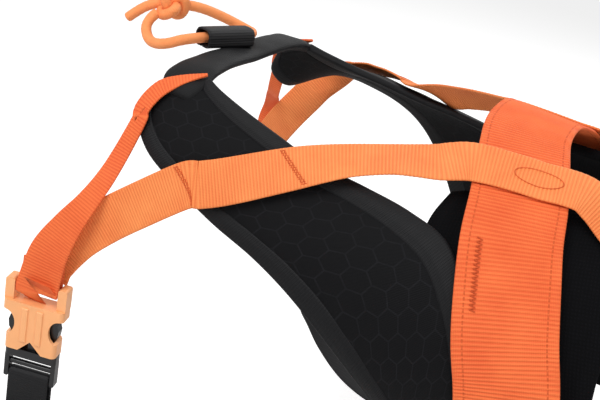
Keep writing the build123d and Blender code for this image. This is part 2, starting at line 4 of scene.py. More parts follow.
import bpy
import numpy as np
from mathutils import Matrix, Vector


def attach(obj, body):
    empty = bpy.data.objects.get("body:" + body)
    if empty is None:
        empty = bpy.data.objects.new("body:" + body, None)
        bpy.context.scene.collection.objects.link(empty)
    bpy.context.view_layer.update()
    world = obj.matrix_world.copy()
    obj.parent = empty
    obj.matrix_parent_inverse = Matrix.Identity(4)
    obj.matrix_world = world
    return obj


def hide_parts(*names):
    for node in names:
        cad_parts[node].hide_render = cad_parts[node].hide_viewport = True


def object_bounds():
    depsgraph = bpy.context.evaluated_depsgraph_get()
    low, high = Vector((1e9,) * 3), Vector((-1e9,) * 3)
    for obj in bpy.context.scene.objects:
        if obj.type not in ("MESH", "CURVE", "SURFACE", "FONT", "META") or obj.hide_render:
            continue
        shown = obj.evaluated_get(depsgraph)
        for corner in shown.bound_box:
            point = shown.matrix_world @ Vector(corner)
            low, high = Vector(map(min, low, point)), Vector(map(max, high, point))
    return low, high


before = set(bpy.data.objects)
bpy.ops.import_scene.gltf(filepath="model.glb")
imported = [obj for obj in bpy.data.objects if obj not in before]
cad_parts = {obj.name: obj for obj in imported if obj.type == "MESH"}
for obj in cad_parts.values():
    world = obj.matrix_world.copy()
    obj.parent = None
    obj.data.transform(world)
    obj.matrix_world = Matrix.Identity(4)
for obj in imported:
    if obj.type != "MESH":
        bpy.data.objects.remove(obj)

CAD_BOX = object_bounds()

bl_info = {
    "name": "Pulling harness",
    "version": (1, 0, 0),
    "blender": (4, 5, 0),
    "location": "View3D > Sidebar > Harness",
    "description": "Builds the soft parts, cords, finishes and studio of a dog pulling harness",
    "category": "Add Mesh",
}

MM = 0.001
UP = np.array([0.0, 0.0, 1.0])
HARNESS = "harness"
TOW_LOOP = "tow_loop"


def linear(code):
    """sRGB hex to linear colour."""
    parts = np.array([int(code[i:i + 2], 16) / 255.0 for i in (1, 3, 5)])
    parts = np.where(parts <= 0.04045, parts / 12.92, ((parts + 0.055) / 1.055) ** 2.4)
    return (*[float(part) for part in parts], 1.0)


# ------------------------------------------------------------------ sizes and colours a user changes
class HarnessSizes(bpy.types.PropertyGroup):
    rib_pitch: bpy.props.FloatProperty(
        name="Band rib pitch", description="Distance between the ribs of the wide webbing",
        default=2.3 * MM, unit="LENGTH", precision=5)
    strap_rib_pitch: bpy.props.FloatProperty(
        name="Strap rib pitch", description="Distance between the ribs of the flank straps",
        default=2.0 * MM, unit="LENGTH", precision=5)
    strap_thickness: bpy.props.FloatProperty(
        name="Strap thickness", description="Thickness of the narrow webbing",
        default=1.6 * MM, unit="LENGTH", precision=5)
    band_thickness: bpy.props.FloatProperty(
        name="Band thickness", description="Thickness of the wide webbing",
        default=1.8 * MM, unit="LENGTH", precision=5)
    cord_radius: bpy.props.FloatProperty(
        name="Cord radius", description="Radius of the tow cord",
        default=3.5 * MM, unit="LENGTH", precision=5)
    hexagon_width: bpy.props.FloatProperty(
        name="Hexagon width", description="Width of one hexagon of the ripstop's reinforcing lines",
        default=13.5 * MM, unit="LENGTH", precision=5)


class HarnessColours(bpy.types.PropertyGroup):
    # On the folded edge strips this darker band orange is painted shade, standing in for the shade they lie in.
    orange: bpy.props.FloatVectorProperty(
        name="Band orange", description="Dyed polyester of the wide webbing and the folded edge strips",
        subtype="COLOR", size=4, default=linear("#F57B42"))
    # Painted shade: the darker colour laid down in the valleys between the band's ribs and threads.
    orange_painted_shade: bpy.props.FloatVectorProperty(
        name="Band orange between ribs", description="The same dye down between the ribs",
        subtype="COLOR", size=4, default=linear("#D24A23"))
    strap: bpy.props.FloatVectorProperty(
        name="Strap orange", description="Yellower dye of the narrow flank webbing",
        subtype="COLOR", size=4, default=linear("#F89855"))
    # Painted shade between the flank webbing's ribs; the same colour is also the real thread of the flank
    # stitches.
    strap_painted_shade_and_thread: bpy.props.FloatVectorProperty(
        name="Strap orange between ribs", description="The flank webbing's dye down between its ribs",
        subtype="COLOR", size=4, default=linear("#DA622E"))
    orange_stitch: bpy.props.FloatVectorProperty(
        name="Orange stitches", description="Thread that sinks into the bright webbing",
        subtype="COLOR", size=4, default=linear("#CE5528"))
    black: bpy.props.FloatVectorProperty(
        name="Black", description="Black polyester",
        subtype="COLOR", size=4, default=linear("#0C0C0F"))
    # Painted shade: the darker colour laid between the black cloths' threads, ribs and knitted loops.
    black_painted_shade: bpy.props.FloatVectorProperty(
        name="Black between threads", description="Black polyester down between its threads",
        subtype="COLOR", size=4, default=linear("#030304"))
    ripstop_line: bpy.props.FloatVectorProperty(
        name="Ripstop lines", description="Paler thread of the ripstop's hexagons",
        subtype="COLOR", size=4, default=linear("#18181B"))
    cord: bpy.props.FloatVectorProperty(
        name="Cord", description="Orange braid of the tow cord",
        subtype="COLOR", size=4, default=linear("#FFB474"))
    # Painted shade: the darker colour laid between the braid's strands.
    cord_painted_shade: bpy.props.FloatVectorProperty(
        name="Cord between strands", description="The braid's colour down between its strands",
        subtype="COLOR", size=4, default=linear("#F58648"))
    buckle: bpy.props.FloatVectorProperty(
        name="Buckle", description="Orange acetal",
        subtype="COLOR", size=4, default=linear("#FFB478"))


# ------------------------------------------------------------------ the dog's form that all straps follow
def body_point(x, angle):
    """Ellipse at station x: y = W sin a, z = T - D (1 - cos a), with W, T and D slow functions of x."""
    a = np.radians(angle)
    wide = 128.0 - 0.0007 * (x + 20.0) ** 2
    top = 0.6 - 0.07 * x
    deep = 113.0 - 0.00035 * (x - 20.0) ** 2
    return np.stack([x + 0.0 * a, wide * np.sin(a), top - deep * (1.0 - np.cos(a))], axis=-1)


def unit(vectors):
    return vectors / np.linalg.norm(vectors, axis=-1, keepdims=True)


def body_normal(x, angle):
    """Cross product of the form's two directions, by central difference."""
    along = body_point(x + 1.0, angle) - body_point(x - 1.0, angle)
    around = body_point(x, angle + 1.0) - body_point(x, angle - 1.0)
    return unit(np.cross(along, around))


def curved(rows, steps):
    """Catmull-Rom curve through rows of numbers, all columns alike, as one array."""
    rows = np.array(rows, float)
    rows = np.vstack([2 * rows[0] - rows[1], rows, 2 * rows[-1] - rows[-2]])
    t = np.linspace(0.0, len(rows) - 3.0, (len(rows) - 3) * steps + 1)
    i = np.minimum(t.astype(int), len(rows) - 4)
    f = (t - i)[:, None]
    p0, p1, p2, p3 = rows[i], rows[i + 1], rows[i + 2], rows[i + 3]
    return 0.5 * (2 * p1 + (p2 - p0) * f + (2 * p0 - 5 * p1 + 4 * p2 - p3) * f ** 2
                  + (3 * p1 - p0 - 3 * p2 + p3) * f ** 3)


def travelled(points):
    """Distance from the first point to each, along the line."""
    return np.concatenate([[0.0], np.cumsum(np.linalg.norm(np.diff(points, axis=0), axis=1))])


def evened(rows, spacing):
    """The same rows at even distances along their line, whose points are the first three columns."""
    far = travelled(rows[:, :3])
    marks = np.linspace(0.0, far[-1], max(2, int(round(far[-1] / spacing)) + 1))
    return np.stack([np.interp(marks, far, column) for column in rows.T], axis=1)


def on_body(rows, steps):
    """Strap rows (x, angle, lift, roll, width) curved over the form, as (point, normal, roll, width)."""
    fine = curved(rows, steps)
    normal = body_normal(fine[:, 0], fine[:, 1])
    point = body_point(fine[:, 0], fine[:, 1]) + normal * fine[:, 2:3]
    return np.hstack([point, normal, fine[:, 3:5]])


def free_rows(rows):
    """Strap rows (point, normal, width) that hang free, as (point, normal, roll, width)."""
    return np.array([[*point, *normal, 0.0, width] for point, normal, width in rows], float)


# ------------------------------------------------------------------ meshes
def closed_mesh(name, rings, mapping, around=True):
    """Closed mesh from rings of points in millimetres, one ring to a row, with flat ends.

    mapping holds each point's place on the cloth, in metres, and becomes the UV map."""
    count, size = rings.shape[:2]
    grid = np.arange(count * size).reshape(count, size)
    after = np.roll(grid, -1, axis=1)
    quads = np.stack([grid[:-1], after[:-1], after[1:], grid[1:]], axis=-1).reshape(-1, 4)
    ends = [grid[0][::-1].tolist(), grid[-1].tolist()]
    points = rings.reshape(-1, 3) * MM
    corner = points[quads]
    volume = np.einsum("ij,ij->i", corner[:, 0], np.cross(corner[:, 1], corner[:, 2])).sum()
    volume += np.einsum("ij,ij->i", corner[:, 0], np.cross(corner[:, 2], corner[:, 3])).sum()
    if volume < 0:
        quads = quads[:, ::-1]
        ends = [end[::-1] for end in ends]
    mesh = bpy.data.meshes.new(name)
    mesh.from_pydata(points.tolist(), [], quads.tolist() + ends)
    layer = mesh.uv_layers.new(name="UVMap")
    index = np.empty(len(mesh.loops), dtype=np.int32)
    mesh.loops.foreach_get("vertex_index", index)
    layer.data.foreach_set("uv", mapping.reshape(-1, 2)[index].astype(np.float32).ravel())
    mesh.polygons.foreach_set("use_smooth", np.ones(len(mesh.polygons), dtype=bool))
    mesh.update()
    return mesh


def joined(name, meshes):
    """One mesh of several, each with its own UV map kept."""
    points, faces, mapping, start = [], [], [], 0
    for mesh in meshes:
        points += [tuple(vertex.co) for vertex in mesh.vertices]
        faces += [[start + corner for corner in face.vertices] for face in mesh.polygons]
        layer = np.empty(len(mesh.loops) * 2, dtype=np.float32)
        mesh.uv_layers[0].data.foreach_get("uv", layer)
        mapping.append(layer)
        start += len(mesh.vertices)
    whole = bpy.data.meshes.new(name)
    whole.from_pydata(points, [], faces)
    whole.uv_layers.new(name="UVMap").data.foreach_set("uv", np.concatenate(mapping))
    whole.polygons.foreach_set("use_smooth", np.ones(len(faces), dtype=bool))
    whole.update()
    return whole


def strap_frames(rows):
    """Centres, faces, across directions, half widths and distances of a strap's rows."""
    centre = rows[:, :3]
    ahead = unit(np.gradient(centre, axis=0))
    normal = rows[:, 3:6]
    normal = unit(normal - ahead * np.sum(normal * ahead, axis=1, keepdims=True))
    side = np.cross(normal, ahead)
    turn = np.radians(rows[:, 6:7])
    face = normal * np.cos(turn) + side * np.sin(turn)
    across = side * np.cos(turn) - normal * np.sin(turn)
    return centre, face, across, rows[:, 7:8] / 2, travelled(centre)


def webbing_mesh(name, rows, thickness, pitch=0.0, rib=0.0, selvedge=0.0, groove=0.0, columns=17):
    """Woven tape: height = T/2 (1 - v^14)^(1/3) + rib sin(2 pi s / pitch) + selvedge - groove.

    v runs from -1 to 1 across the tape and s along it; the selvedge is a ridge with its own twist at
    each edge, and the groove is a narrow dip where the stitches sink in, a share inside each edge."""
    centre, face, across, half, far = strap_frames(rows)
    v = np.sin(np.linspace(-math.pi / 2, math.pi / 2, columns))
    v = np.concatenate([v, v[-2:0:-1]])[None, :]
    under = np.where(np.arange(2 * columns - 2) < columns, 1.0, -1.0)[None, :]
    s = far[:, None]
    body = thickness / 2 * (1.0 - np.abs(v) ** 14) ** (1 / 3)
    inner = np.clip((0.93 - np.abs(v)) / 0.05, 0.0, 1.0)
    height = body * under
    if pitch:
        height = height + under * inner * rib * np.sin(2 * math.pi * s / pitch)
    edge = np.exp(-((np.abs(v) - 0.95) / 0.035) ** 2)
    height = height + under * edge * selvedge * (1.2 + np.sin(2 * math.pi * (s / 2.6 + v)))
    height = height - under * groove * np.exp(-((np.abs(v) - 0.85) / 0.03) ** 2)
    rings = centre[:, None] + across[:, None] * (v * half)[..., None] + face[:, None] * height[..., None]
    mapping = np.stack([np.broadcast_to(s, height.shape), v * half], axis=-1) * MM
    return closed_mesh(name, rings, mapping)


def sheet_surface(first, second, share, tilt, lift):
    """Sheet between two edges on the form: straight in (x, angle), then leaned out by tilt at its first."""
    x0, a0 = first[:, 0:1], first[:, 1:2]
    x1, a1 = second[:, 0:1], second[:, 1:2]
    base = body_point(x0, a0)
    normal = body_normal(x0, a0)
    x = x0 + (x1 - x0) * share
    angle = a0 + (a1 - a0) * share
    away = body_point(x, angle) - base
    rise = np.sum(away * normal, axis=-1, keepdims=True)
    reach = np.linalg.norm(away - normal * rise, axis=-1, keepdims=True)
    side = body_point(x1, a1) - base
    side = unit(side - normal * np.sum(side * normal, axis=-1, keepdims=True))
    lean = np.radians(tilt)[..., None]
    point = base + side * (reach * np.cos(lean) - rise * np.sin(lean))
    point = point + normal * (rise * np.cos(lean) + reach * np.sin(lean))
    face = unit(body_normal(x, angle) * np.cos(lean) - side * np.sin(lean))
    return point + face * lift[..., None], face


def padded_mesh(name, edges, shares, lift, thickness, relief, tilts=None, sizes=(160, 25), power=6.0, flip=1):
    """Padded sheet: half height = T/2 (1 - |2w - 1|^p)^(1/p) plus relief(s, w), w from 0 to 1 across."""
    long, wide = sizes
    steps = max(2, long // (len(edges[0]) - 1))
    first, second = curved(edges[0], steps), curved(edges[1], steps)
    lean = np.zeros((len(first), 1))
    if tilts:
        lean = np.maximum(curved([[tilt] for tilt in tilts], steps), 0.0)
    w = (1.0 - np.cos(np.linspace(0.0, math.pi, wide))) / 2
    w = np.concatenate([w, w[-2:0:-1]])[None, :]
    under = np.where(np.arange(2 * wide - 2) < wide, 1.0, -1.0)[None, :]
    share = shares[0] + (shares[1] - shares[0]) * w
    one_side, other_side = (body_point(edge[:, 0], edge[:, 1]) for edge in (first, second))
    s = travelled(one_side)[:, None]
    width = np.linalg.norm(other_side - one_side, axis=1)
    rounded = (1.0 - np.abs(2 * w - 1) ** power) ** (1 / power)
    end = np.minimum(s, s[-1] - s) / 3.0
    end = np.sqrt(1.0 - (1.0 - np.clip(end, 0.05, 1.0)) ** 2)
    height = rounded * end * (thickness / 2 + relief(s, w) * (under > 0)) * under
    flat = np.broadcast_to(lean, height.shape)
    rings = sheet_surface(first, second, share, flat, lift + height)[0]
    rings = rings * np.array([1.0, flip, 1.0])
    mapping = np.stack([np.broadcast_to(s, height.shape), share * width[:, None]], axis=-1) * MM
    return closed_mesh(name, rings, mapping)


def tube_mesh(name, centre, radius, relief, sides=20, cap=0.0):
    """Tube along a line: radius r + relief(s, phi), its rings turned with the line and never twisted."""
    ahead = unit(np.gradient(centre, axis=0))
    start = unit(np.cross(ahead, [0.31, 0.22, 0.93]))
    other = np.cross(ahead, start)
    far = travelled(centre)[:, None]
    phi = np.linspace(0.0, 2 * math.pi, sides, endpoint=False)[None, :]
    size = radius + relief(far, phi)
    if cap:
        inside = np.clip(np.minimum(far, far[-1] - far) / cap, 0.02, 1.0)
        size = size * np.sqrt(1.0 - (1.0 - inside) ** 2)
    rings = centre[:, None] + (start[:, None] * (np.cos(phi) * size)[..., None]
                               + other[:, None] * (np.sin(phi) * size)[..., None])
    mapping = np.stack([np.broadcast_to(far, size.shape), np.broadcast_to(phi * radius, size.shape)], axis=-1)
    return closed_mesh(name, rings, mapping * MM)


# ------------------------------------------------------------------ finishes
MATH, VECTOR, MIX, NOISE = "ShaderNodeMath", "ShaderNodeVectorMath", "ShaderNodeMix", "ShaderNodeTexNoise"
WARP_PITCH, WEFT_PITCH = 0.9 * MM, 0.8 * MM
STITCH_PITCH, STITCH_HALF_WIDTH = 3.0 * MM, 0.45 * MM
HEXAGON_LINE = 0.42 * MM


def add_node(tree, kind, inputs=(), **settings):
    """Add one node; its inputs are values, sockets, or nodes, which give their first output."""
    made = tree.nodes.new(kind)
    for key, value in settings.items():
        setattr(made, key, value)
    for key, value in (inputs.items() if isinstance(inputs, dict) else enumerate(inputs)):
        if isinstance(value, bpy.types.Node):
            value = value.outputs[0]
        if isinstance(value, bpy.types.NodeSocket):
            tree.links.new(value, made.inputs[key])
        else:
            made.inputs[key].default_value = value
    return made


def new_material(name, roughness, shine=0.5, sheen=0.0):
    """Material with its tree, shader and UV parts; the numbers are set on the shader itself."""
    made = bpy.data.materials.get(name) or bpy.data.materials.new(name)
    made.use_nodes = True
    tree = made.node_tree
    tree.nodes.clear()
    shader = add_node(tree, "ShaderNodeBsdfPrincipled",
                      {"Roughness": roughness, "Specular IOR Level": shine, "Sheen Weight": sheen})
    add_node(tree, "ShaderNodeOutputMaterial", [shader])
    coords = add_node(tree, "ShaderNodeTexCoord")
    parts = add_node(tree, "ShaderNodeSeparateXYZ", [coords.outputs["UV"]])
    return tree, shader, coords, parts


def finish_surface(tree, shader, colour, height, distance, strength=0.6):
    """Connect the colour, and the height through a bump of that depth."""
    bump = add_node(tree, "ShaderNodeBump", {"Height": height, "Distance": distance, "Strength": strength})
    tree.links.new(bump.outputs[0], shader.inputs["Normal"])
    tree.links.new(colour, shader.inputs["Base Color"])


def wave(tree, value, pitch):
    """Sine along one direction of the cloth: 0.5 + 0.5 sin(2 pi value / pitch)."""
    turned = add_node(tree, MATH, [value, 2 * math.pi / pitch], operation="MULTIPLY")
    sine = add_node(tree, MATH, [turned], operation="SINE")
    return add_node(tree, MATH, [sine, 0.5, 0.5], operation="MULTIPLY_ADD")


def webbing_material(name, high, low, stitch, rib, stitch_at, roughness, shine):
    """Woven polyester tape: ribs across it, fine warp threads along it, sunken dashes of thread.

    The eye gets painted shade in the valleys between the ribs and threads, and a slightly uneven dye."""
    tree, shader, coords, parts = new_material(name, roughness, shine)
    along, across = parts.outputs[0], parts.outputs[1]
    threads = [wave(tree, across, WARP_PITCH), wave(tree, along, WEFT_PITCH)]
    weave = add_node(tree, MATH, threads, operation="MULTIPLY")
    ribs = add_node(tree, MATH, [wave(tree, along, rib), 0.55], operation="MULTIPLY")
    height = add_node(tree, MATH, [weave, 0.45, ribs], operation="MULTIPLY_ADD")
    dye = add_node(tree, NOISE, {"Vector": coords.outputs["Object"], "Scale": 45.0, "Detail": 4.0})
    # Painted shade: the colour follows the weave and rib height, darker down in the valleys; the dye noise is
    # real uneven dye.
    lit = add_node(tree, MATH, [height, 0.75, -0.05], operation="MULTIPLY_ADD")
    level = add_node(tree, MATH, [dye, 0.7, lit], operation="MULTIPLY_ADD")
    colour = add_node(tree, MIX, {0: level, 6: low, 7: high}, data_type="RGBA").outputs[2]
    if stitch_at:
        side = add_node(tree, MATH, [across], operation="ABSOLUTE")
        off = add_node(tree, MATH, [side, stitch_at], operation="SUBTRACT")
        off = add_node(tree, MATH, [off], operation="ABSOLUTE")
        line = add_node(tree, MATH, [off, STITCH_HALF_WIDTH], operation="LESS_THAN")
        dash = add_node(tree, MATH, [wave(tree, along, STITCH_PITCH), 0.22], operation="GREATER_THAN")
        mask = add_node(tree, MATH, [line, dash], operation="MULTIPLY")
        colour = add_node(tree, MIX, {0: mask, 6: colour, 7: stitch}, data_type="RGBA").outputs[2]
    finish_surface(tree, shader, colour, height, 0.35 * MM)


def ripstop_material(name, high, low, line, width):
    """Ripstop polyester: a fine diagonal weave and raised hexagons of thicker thread.

    The nearer of two offset grids of centres is the hexagon's own; its edge is where the greatest of
    |x| and |x|/2 + |y| sqrt(3)/2 comes near half a cell. The eye gets faint, broken paler lines."""
    tree, shader, coords, parts = new_material(name, 0.7, 0.12)
    cell = (width, width * math.sqrt(3.0), 1.0)
    half = tuple(size / 2 for size in cell)
    place = add_node(tree, VECTOR, [coords.outputs["UV"], (9.0, 9.0, 0.0)], operation="ADD")
    grids = []
    for shift in ((0.0, 0.0, 0.0), half):
        moved = add_node(tree, VECTOR, [place, shift], operation="ADD")
        cut = add_node(tree, VECTOR, [moved, cell], operation="MODULO")
        middle = add_node(tree, VECTOR, [cut, half], operation="SUBTRACT")
        flat = add_node(tree, VECTOR, [middle, (1.0, 1.0, 0.0)], operation="MULTIPLY")
        length = add_node(tree, VECTOR, [flat], operation="LENGTH")
        grids.append((flat, length.outputs[1]))
    nearer = add_node(tree, MATH, [grids[0][1], grids[1][1]], operation="LESS_THAN")
    chosen = add_node(tree, MIX, {0: nearer, 4: grids[1][0], 5: grids[0][0]}, data_type="VECTOR")
    size = add_node(tree, VECTOR, [chosen.outputs[1]], operation="ABSOLUTE")
    x, y = add_node(tree, "ShaderNodeSeparateXYZ", [size]).outputs[:2]
    run = add_node(tree, MATH, [x, 0.5], operation="MULTIPLY")
    slant = add_node(tree, MATH, [y, math.sqrt(3.0) / 2, run], operation="MULTIPLY_ADD")
    reach = add_node(tree, MATH, [x, slant], operation="MAXIMUM")
    edge = add_node(tree, MATH, [reach, width / 2 - HEXAGON_LINE], operation="GREATER_THAN")
    diagonal = add_node(tree, MATH, [parts.outputs[0], parts.outputs[1]], operation="ADD")
    weave = wave(tree, diagonal, 1.1 * MM)
    # Painted shade: darker colour between the diagonal threads of the weave.
    shade = add_node(tree, MATH, [weave, 0.8], operation="MULTIPLY")
    cloth = add_node(tree, MIX, {0: shade, 6: low, 7: high}, data_type="RGBA").outputs[2]
    broken = add_node(tree, NOISE, {"Vector": coords.outputs["Object"], "Scale": 220.0})
    worn = add_node(tree, MATH, [broken, 0.9, 0.15], operation="MULTIPLY_ADD")
    seen = add_node(tree, MATH, [edge, worn], operation="MULTIPLY")
    colour = add_node(tree, MIX, {0: seen, 6: cloth, 7: line}, data_type="RGBA").outputs[2]
    raised = add_node(tree, MATH, [edge, 0.6], operation="MULTIPLY")
    height = add_node(tree, MATH, [weave, 0.4, raised], operation="MULTIPLY_ADD")
    finish_surface(tree, shader, colour, height, 0.3 * MM)


def soft_material(name, high, low, pitch, roughness, shine, sheen=0.0):
    """Knitted or brushed cloth: the eye gets small raised loops in two directions, painted shade between them
    and a napped surface.
    """
    tree, shader, coords, parts = new_material(name, roughness, shine, sheen)
    waves = [wave(tree, parts.outputs[0], pitch), wave(tree, parts.outputs[1], pitch)]
    loops = add_node(tree, MATH, waves, operation="MULTIPLY")
    nap = add_node(tree, NOISE, {"Vector": coords.outputs["Object"], "Scale": 260.0, "Detail": 5.0})
    raised = add_node(tree, MATH, [loops, 0.6], operation="MULTIPLY")
    height = add_node(tree, MATH, [nap, 0.4, raised], operation="MULTIPLY_ADD")
    # Painted shade: the colour follows the height, darker between the raised loops; the nap noise in it is real
    # uneven tone.
    colour = add_node(tree, MIX, {0: height, 6: low, 7: high}, data_type="RGBA").outputs[2]
    finish_surface(tree, shader, colour, height, 0.4 * MM)


def plastic_material(name, code, roughness):
    """Moulded acetal: the eye gets a satin skin, the faint grain of the mould and slight handling marks."""
    tree, shader, coords, _ = new_material(name, roughness)
    grain = add_node(tree, NOISE, {"Vector": coords.outputs["Object"], "Scale": 900.0, "Detail": 2.0})
    marks = add_node(tree, NOISE, {"Vector": coords.outputs["Object"], "Scale": 60.0, "Detail": 6.0})
    dark = (*[0.82 * part for part in code[:3]], 1.0)
    colour = add_node(tree, MIX, {0: marks, 6: dark, 7: tuple(code)}, data_type="RGBA").outputs[2]
    finish_surface(tree, shader, colour, grain, 0.06 * MM, 0.35)


def add_piece(mesh, material, body, slot, *nodes):
    """Object at the origin that rides on a body and stands for CAD nodes."""
    piece = bpy.data.objects.new(mesh.name, mesh)
    bpy.context.scene.collection.objects.link(piece)
    mesh.materials.append(material)
    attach(piece, body)
    if nodes:
        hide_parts(*nodes)
    return piece


def mirrored(rows):
    """Strap rows on the dog's other side."""
    return rows * np.array([1, -1, 1, 1, -1, 1, -1, 1])


# ------------------------------------------------------------------ cloth finishes made once
def finishes():
    """Every finish by name, from the user's colours."""
    colours, sizes = bpy.context.scene.harness_colours, bpy.context.scene.harness_sizes
    high, low, thread = tuple(colours.orange), tuple(colours.orange_painted_shade), tuple(colours.orange_stitch)
    black, dark, line = tuple(colours.black), tuple(colours.black_painted_shade), tuple(colours.ripstop_line)
    strap, strap_shade_and_thread = tuple(colours.strap), tuple(colours.strap_painted_shade_and_thread)
    if "wide orange webbing" not in bpy.data.materials:
        webbing_material("wide orange webbing", high, low, thread, sizes.rib_pitch, 21.5 * MM, 0.66, 0.25)
        # Painted shade: the folded rear strips take the band's darker orange in place of the strap orange,
        # because they face away from the light.
        webbing_material("folded orange webbing in painted shade", high, low, thread, sizes.strap_rib_pitch, 0.0, 0.66, 0.25)
        webbing_material("orange webbing", strap, strap_shade_and_thread, thread, sizes.strap_rib_pitch, 0.0, 0.62, 0.3)
        webbing_material("black webbing", black, dark, line, 1.6 * MM, 0.0, 0.55, 0.25)
        webbing_material("grosgrain binding", black, dark, line, 1.5 * MM, 0.0, 0.6, 0.2)
        ripstop_material("hexagon ripstop", black, dark, line, sizes.hexagon_width)
        soft_material("padded mesh", black, dark, 1.9 * MM, 0.85, 0.08)
        soft_material("stretch sleeve", black, dark, 0.9 * MM, 0.6, 0.18)
        soft_material("braided cord", tuple(colours.cord), tuple(colours.cord_painted_shade), 0.8 * MM, 0.6, 0.3,
                      0.05)
        soft_material("sewing thread", thread, thread, 0.6 * MM, 0.7, 0.3)
        # Here the flank valley shade colour is used as the real colour of the flank thread.
        soft_material("strap thread", strap_shade_and_thread, strap_shade_and_thread, 0.6 * MM, 0.7, 0.3)
        plastic_material("orange acetal", tuple(colours.buckle), 0.34)
        plastic_material("black acetal", linear("#0D0D0F"), 0.28)
    return bpy.data.materials


# ------------------------------------------------------------------ tow cord
TUNNEL = np.array([-211.0, -10.0, -6.44])
TUNNEL_AXIS = np.array([math.sin(math.radians(21.0)), math.cos(math.radians(21.0)), 0.0])
KNOT = TUNNEL + np.array([-42.0, -4.0, 12.0])
KNOT_SIZE, KNOT_DROP = 3.0, 1.5
NEAR_ROUTE = [(0, 0, 0), (-11.0, -28.66, 0), (-27, -33, -9), (-43, -26, -12), (-53, -17, -2),
              (-47.94, -11.02, 4.44)]
FAR_ROUTE = [(0, 0, 0), (10.39, 27.07, 0), (-3.5, 33.4, 0.5), (-16.5, 24.5, 6), (-29, 12, 11),
             (-34.5, 5.23, 11.42)]


def cord_line(name, route):
    """Points, in millimetres, of the NURBS spline whose control points are the route."""
    data = bpy.data.curves.new(name, "CURVE")
    data.dimensions = "3D"
    data.resolution_u = 24
    spline = data.splines.new("NURBS")
    spline.points.add(len(route) - 1)
    for point, place in zip(spline.points, route):
        point.co = (*(np.array(place, float) + TUNNEL) * MM, 1.0)
    spline.order_u = 3
    spline.use_endpoint_u = True
    line = bpy.data.objects.new(name, data)
    bpy.context.scene.collection.objects.link(line)
    bpy.context.view_layer.update()
    mesh = bpy.data.meshes.new_from_object(line)
    points = np.array([vertex.co for vertex in mesh.vertices]) / MM
    bpy.data.objects.remove(line)
    bpy.data.curves.remove(data)
    bpy.data.meshes.remove(mesh)
    return points


def braid(far, phi):
    """Relief of a 16-strand braid: the higher of two opposite helices, 0.35 mm deep."""
    one = np.abs(np.cos(4 * phi + 2 * math.pi * far / 9.0))
    two = np.abs(np.cos(4 * phi - 2 * math.pi * far / 9.0))
    return 0.35 * (np.maximum(one, two) ** 0.7 - 1.0)


def knot_mesh(name):
    """Overhand knot: tube along (sin t + 2 sin 2t, cos t - 2 cos 2t, -1.6 sin 3t), and two cut ends."""
    t = np.linspace(0.0, 2 * math.pi, 160)
    loop = np.stack([np.sin(t) + 2 * np.sin(2 * t), np.cos(t) - 2 * np.cos(2 * t), -1.6 * np.sin(3 * t)],
                    axis=1)
    lean = np.array(Matrix.Rotation(0.7, 3, "X") @ Matrix.Rotation(0.5, 3, "Y"))
    parts = [tube_mesh("turns", KNOT + (loop * KNOT_SIZE) @ lean.T - KNOT_DROP * UP, 3.6, braid)]
    for end, sag in (((-30.0, -6.0, -18.0), 4.0), ((-6.0, 10.0, 22.0), -3.0)):
        f = np.linspace(0.12, 1.0, 40)[:, None]
        line = KNOT + np.array(end) * f + UP * sag * np.sin(math.pi * f)
        parts.append(tube_mesh("tail", line, 3.4, braid, cap=1.6))
    return joined(name, parts)


class HARNESS_OT_tow_cord(bpy.types.Operator):
    """Two legs of one braided cord that leave the tunnel and meet in a knot"""
    bl_idname = "harness.tow_cord"
    bl_label = "Tow cord"

    def execute(self, context):
        cloth = finishes()["braided cord"]
        radius = context.scene.harness_sizes.cord_radius / MM
        knot = add_piece(knot_mesh("tied_knot"), cloth, TOW_LOOP, "cord", "cord_knot")
        for name, route, node, length in (("near_leg", NEAR_ROUTE, "tow_cord_near", 0.0900),
                                          ("far_leg", FAR_ROUTE, "tow_cord_far", 0.0840)):
            line = cord_line(name, route)
            fine = evened(line, 0.5)
            leg = add_piece(tube_mesh(name, fine, radius, braid), cloth, TOW_LOOP, "cord", node)
        return {"FINISHED"}


# ------------------------------------------------------------------ withers band
BAND_LINE = [(0, 0), (1, 12), (7, 25), (14, 38), (19, 50), (26, 62), (34, 75), (43, 88), (50, 104),
             (55, 122), (59, 142), (61, 163)]
BAND_LIFT, BAND_WIDTH, BAND_FLARE = 0.4, 50.0, 5.0


def band_rows():
    line = [(x, -a) for x, a in BAND_LINE[:0:-1]] + BAND_LINE
    rows = [(x, a, BAND_LIFT, 0, BAND_WIDTH + BAND_FLARE * min(1.0, abs(a) / 70.0)) for x, a in line]
    return on_body(rows, 24)


def stitch_mesh(name, rows, marks, radius=0.32):
    """Thread laid on a strap as small tubes: each mark is a list of (distance, offset) on its face."""
    centre, face, across, _, far = strap_frames(rows)
    parts = []
    for thickness, mark in marks:
        mark = np.array(mark, float)
        at = [np.stack([np.interp(mark[:, 0], far, column) for column in part.T], axis=1)
              for part in (centre, face, across)]
        line = at[0] + at[2] * mark[:, 1:2] + at[1] * (thickness / 2 + 0.15)
        parts.append(tube_mesh(name, evened(line, 0.45), radius, lambda s, phi: 0.0 * (s + phi), sides=6))
    return joined(name, parts)


def zigzag(start, stop, count, half):
    """Corners of a zigzag from one (distance, offset) to another, that far to each side."""
    f = np.linspace(0.0, 1.0, count)[:, None]
    line = np.array(start, float) * (1 - f) + np.array(stop, float) * f
    way = np.array(stop, float) - np.array(start, float)
    way = way / np.linalg.norm(way)
    line += np.array([-way[1], way[0]]) * half * np.where(np.arange(count) % 2, 1.0, -1.0)[:, None]
    return line


